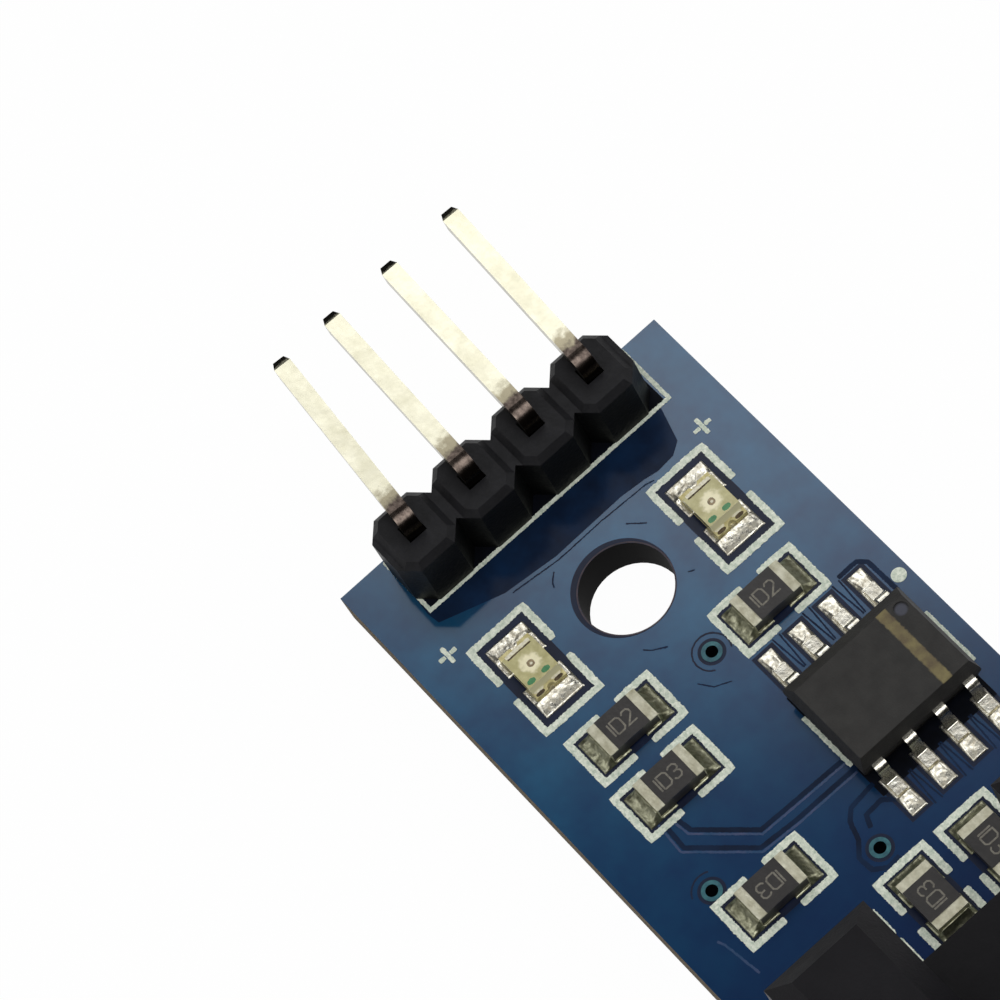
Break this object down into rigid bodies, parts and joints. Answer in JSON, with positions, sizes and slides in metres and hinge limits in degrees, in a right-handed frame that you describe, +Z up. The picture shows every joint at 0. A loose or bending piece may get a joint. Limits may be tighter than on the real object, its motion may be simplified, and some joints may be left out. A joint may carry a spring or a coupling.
{
  "type": "infrared speed sensor module",
  "caption": "Narrow circuit board with a slotted infrared light barrier at one end, a bent pin header at the other, a comparator, chip resistors and two indicator lights.",
  "frame": {"origin": "axis of the mounting hole, on the board's underside", "axes": "+X along the board from the pin header to the light barrier, +Z up out of the side that carries the parts, +Y across the board"},
  "size_m": [0.0383, 0.0138, 0.013],
  "materials": {
    "board_laminate": "glossy blue coating over glass laminate",
    "header_plastic": "satin moulding",
    "pin_metal": "bright tin plating",
    "lead_metal": "tinned",
    "cap_metal": "tinned",
    "solder": "bright solder",
    "package_moulding": "fine matt",
    "resistor_body": "dark glaze",
    "led_base": "matt laminate",
    "led_lens": "clear resin",
    "led_terminal": "tinned gold",
    "barrier_plastic": "satin moulding",
    "clear_resin": "clear resin",
    "dark_resin": "dark filter resin"
  },
  "bodies": {
    "root": {"pcb": "board_laminate", "header_housing": "header_plastic", "header_solder": "solder", "sensor_solder": "solder", "comparator_body": "package_moulding", "comparator_solder": "solder", "sensor_housing": "barrier_plastic", "infrared_emitter": "clear_resin", "infrared_detector": "dark_resin", "header_pin_1": "pin_metal", "header_pin_2": "pin_metal", "header_pin_3": "pin_metal", "header_pin_4": "pin_metal", "comparator_lead_1": "lead_metal", "comparator_lead_2": "lead_metal", "comparator_lead_3": "lead_metal", "comparator_lead_4": "lead_metal", "comparator_lead_5": "lead_metal", "comparator_lead_6": "lead_metal", "comparator_lead_7": "lead_metal", "comparator_lead_8": "lead_metal", "emitter_leg_1": "lead_metal", "emitter_leg_2": "lead_metal", "detector_leg_1": "lead_metal", "detector_leg_2": "lead_metal", "resistor_1_body": "resistor_body", "resistor_1_caps": "cap_metal", "resistor_1_solder": "solder", "resistor_2_body": "resistor_body", "resistor_2_caps": "cap_metal", "resistor_2_solder": "solder", "resistor_3_body": "resistor_body", "resistor_3_caps": "cap_metal", "resistor_3_solder": "solder", "resistor_4_body": "resistor_body", "resistor_4_caps": "cap_metal", "resistor_4_solder": "solder", "resistor_5_body": "resistor_body", "resistor_5_caps": "cap_metal", "resistor_5_solder": "solder", "resistor_6_body": "resistor_body", "resistor_6_caps": "cap_metal", "resistor_6_solder": "solder", "power_led_base": "led_base", "power_led_lens": "led_lens", "power_led_terminals": "led_terminal", "power_led_solder": "solder", "switch_led_base": "led_base", "switch_led_lens": "led_lens", "switch_led_terminals": "led_terminal", "switch_led_solder": "solder"}
  },
  "joints": []
}
